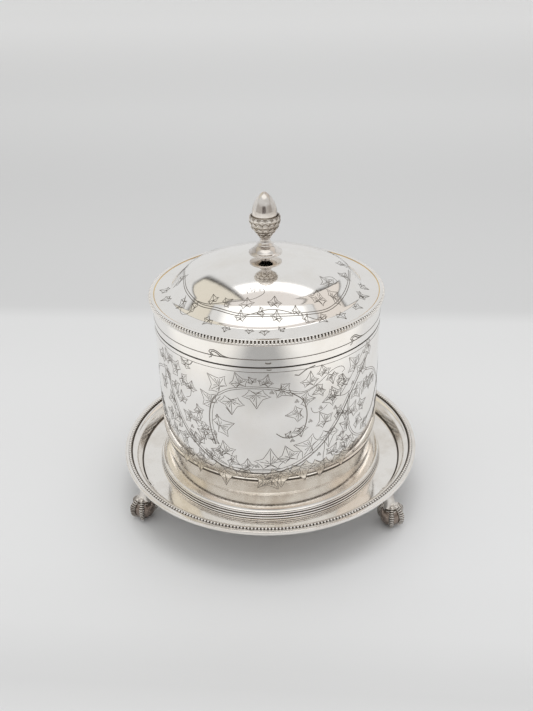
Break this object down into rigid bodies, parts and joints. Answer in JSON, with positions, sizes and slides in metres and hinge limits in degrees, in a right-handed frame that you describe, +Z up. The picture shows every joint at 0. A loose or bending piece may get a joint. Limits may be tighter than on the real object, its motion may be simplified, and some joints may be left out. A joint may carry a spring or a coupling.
{
  "type": "biscuit jar",
  "caption": "Round silver-plated biscuit jar with a hinged domed lid, acorn finial and ivy engraving, fixed on a beaded stand with ball-and-claw feet.",
  "frame": {"origin": "on the axis of the drum, at the height of the table that the three feet stand on", "axes": "+Z up along the drum's axis, front of the jar towards -Y, hinge at +Y, +X to the right as seen from the front"},
  "size_m": [0.24, 0.2439, 0.2515],
  "materials": {
    "silver_plate": "polished silver plate on nickel silver, with fine wear and warm tarnish in the recesses",
    "engraved_silver": "polished silver plate, bright-cut engraved ivy darkened in the lines",
    "cast_silver": "cast and plated, chased, dark in the hollows",
    "nickel_brass": "turned brass, dull"
  },
  "bodies": {
    "jar_on_stand": {"stand_dish": "silver_plate", "stand_bead_border": "silver_plate", "foot_front_left": "cast_silver", "foot_front_right": "cast_silver", "foot_back": "cast_silver", "jar_foot_moulding": "silver_plate", "jar_wall": "engraved_silver", "jar_floor": "silver_plate", "jar_collar": "silver_plate", "stand_stud": "nickel_brass", "stand_washer": "nickel_brass", "stand_nut": "nickel_brass", "hinge_body_leaf": "silver_plate", "hinge_pin": "nickel_brass"},
    "lid": {"lid_skirt": "silver_plate", "lid_dome": "engraved_silver", "lid_bead_border": "silver_plate", "finial_stem": "cast_silver", "finial_cup": "cast_silver", "finial_acorn": "silver_plate", "finial_stud": "nickel_brass", "finial_washer": "nickel_brass", "finial_nut": "nickel_brass", "hinge_lid_leaf": "silver_plate"}
  },
  "joints": [
    {"name": "lid_hinge", "type": "hinge", "parent": "jar_on_stand", "child": "lid", "pos_m": [0, 0.0888, 0.156], "axis": [-1, 0, 0], "range_deg": [0, 105]}
  ]
}
